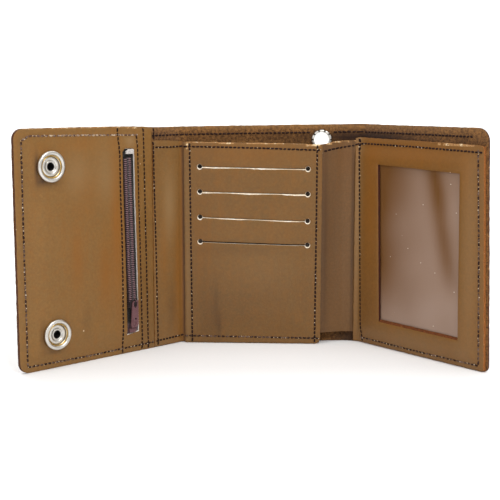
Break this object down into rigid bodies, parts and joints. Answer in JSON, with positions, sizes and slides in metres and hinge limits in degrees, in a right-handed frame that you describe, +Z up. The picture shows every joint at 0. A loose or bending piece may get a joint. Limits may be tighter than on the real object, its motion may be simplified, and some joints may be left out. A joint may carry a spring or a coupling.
{
  "type": "trifold chain wallet",
  "caption": "Brown leather trifold chain wallet standing open, with card slits, zip coin pocket, window for a card, snap flap and a grommet for the chain.",
  "frame": {"origin": "centre of the open wallet's footprint, on the surface that it stands on", "axes": "+X to the viewer's right along the centre back, +Y away from the viewer, +Z up; the wallet stands open with its inner faces towards -Y"},
  "size_m": [0.2222, 0.0726, 0.1143],
  "materials": {
    "leather": "smooth finished leather, slight gloss",
    "suede": "smooth outside, suede inside",
    "lining_cloth": "thin woven lining",
    "zip_cloth": "woven zip tape",
    "zip_coil": "satin nylon coil",
    "zip_metal": "satin enamel",
    "nickel": "polished nickel plate",
    "brass": "bright wire",
    "vinyl": "clear, slightly milky film"
  },
  "bodies": {
    "centre": {"shell_centre": "suede", "divider_centre": "leather", "card_pocket_1": "lining_cloth", "card_pocket_2": "lining_cloth", "card_pocket_3": "lining_cloth", "card_pocket_4": "lining_cloth", "card_panel": "leather", "grommet_eyelet": "nickel", "grommet_washer": "nickel"},
    "left_fold": {"shell_left_fold": "suede", "divider_left_fold": "leather"},
    "flap": {"shell_flap": "suede", "coin_pocket_lining": "lining_cloth", "zip_tape_left": "zip_cloth", "zip_tape_right": "zip_cloth", "zip_coil_left": "zip_coil", "zip_coil_right": "zip_coil", "zip_bottom_stop": "zip_metal", "zip_top_stop": "zip_metal", "flap_lining": "leather", "snap_cap_upper": "nickel", "snap_cap_lower": "nickel", "snap_socket_upper": "nickel", "snap_socket_lower": "nickel", "snap_spring_upper": "brass", "snap_spring_lower": "brass"},
    "zip_slider": {"zip_slider": "zip_metal"},
    "zip_pull": {"zip_pull": "zip_metal"},
    "right_fold": {"shell_right_fold": "suede", "divider_right_fold": "leather"},
    "id_panel": {"shell_id_panel": "suede", "divider_id_panel": "leather", "window_film": "vinyl", "id_frame": "leather", "snap_stud_upper": "nickel", "snap_stud_lower": "nickel", "snap_rivet_upper": "nickel", "snap_rivet_lower": "nickel"}
  },
  "joints": [
    {"name": "left_inner_crease", "type": "hinge", "parent": "centre", "child": "left_fold", "pos_m": [-0.03589, 0.03258, 0], "axis": [0, 0, 1], "range_deg": [-42, 48]},
    {"name": "left_outer_crease", "type": "hinge", "parent": "left_fold", "child": "flap", "pos_m": [-0.0487, 0.01916, 0], "axis": [0, 0, 1], "range_deg": [0, 90]},
    {"name": "right_inner_crease", "type": "hinge", "parent": "centre", "child": "right_fold", "pos_m": [0.04831, 0.03048, 0], "axis": [0, 0, -1], "range_deg": [-6, 84]},
    {"name": "right_outer_crease", "type": "hinge", "parent": "right_fold", "child": "id_panel", "pos_m": [0.05625, 0.02954, 0], "axis": [0, 0, -1], "range_deg": [-46.5, 43.5]},
    {"name": "zip_slide", "type": "slide", "parent": "flap", "child": "zip_slider", "axis": [0, 0, 1], "range_m": [-0.009, 0.066]},
    {"name": "pull_swing", "type": "hinge", "parent": "zip_slider", "child": "zip_pull", "pos_m": [-0.05902, 0.00805, 0.0268], "axis": [-0.7431, -0.6691, 0], "range_deg": [0, 180]}
  ]
}
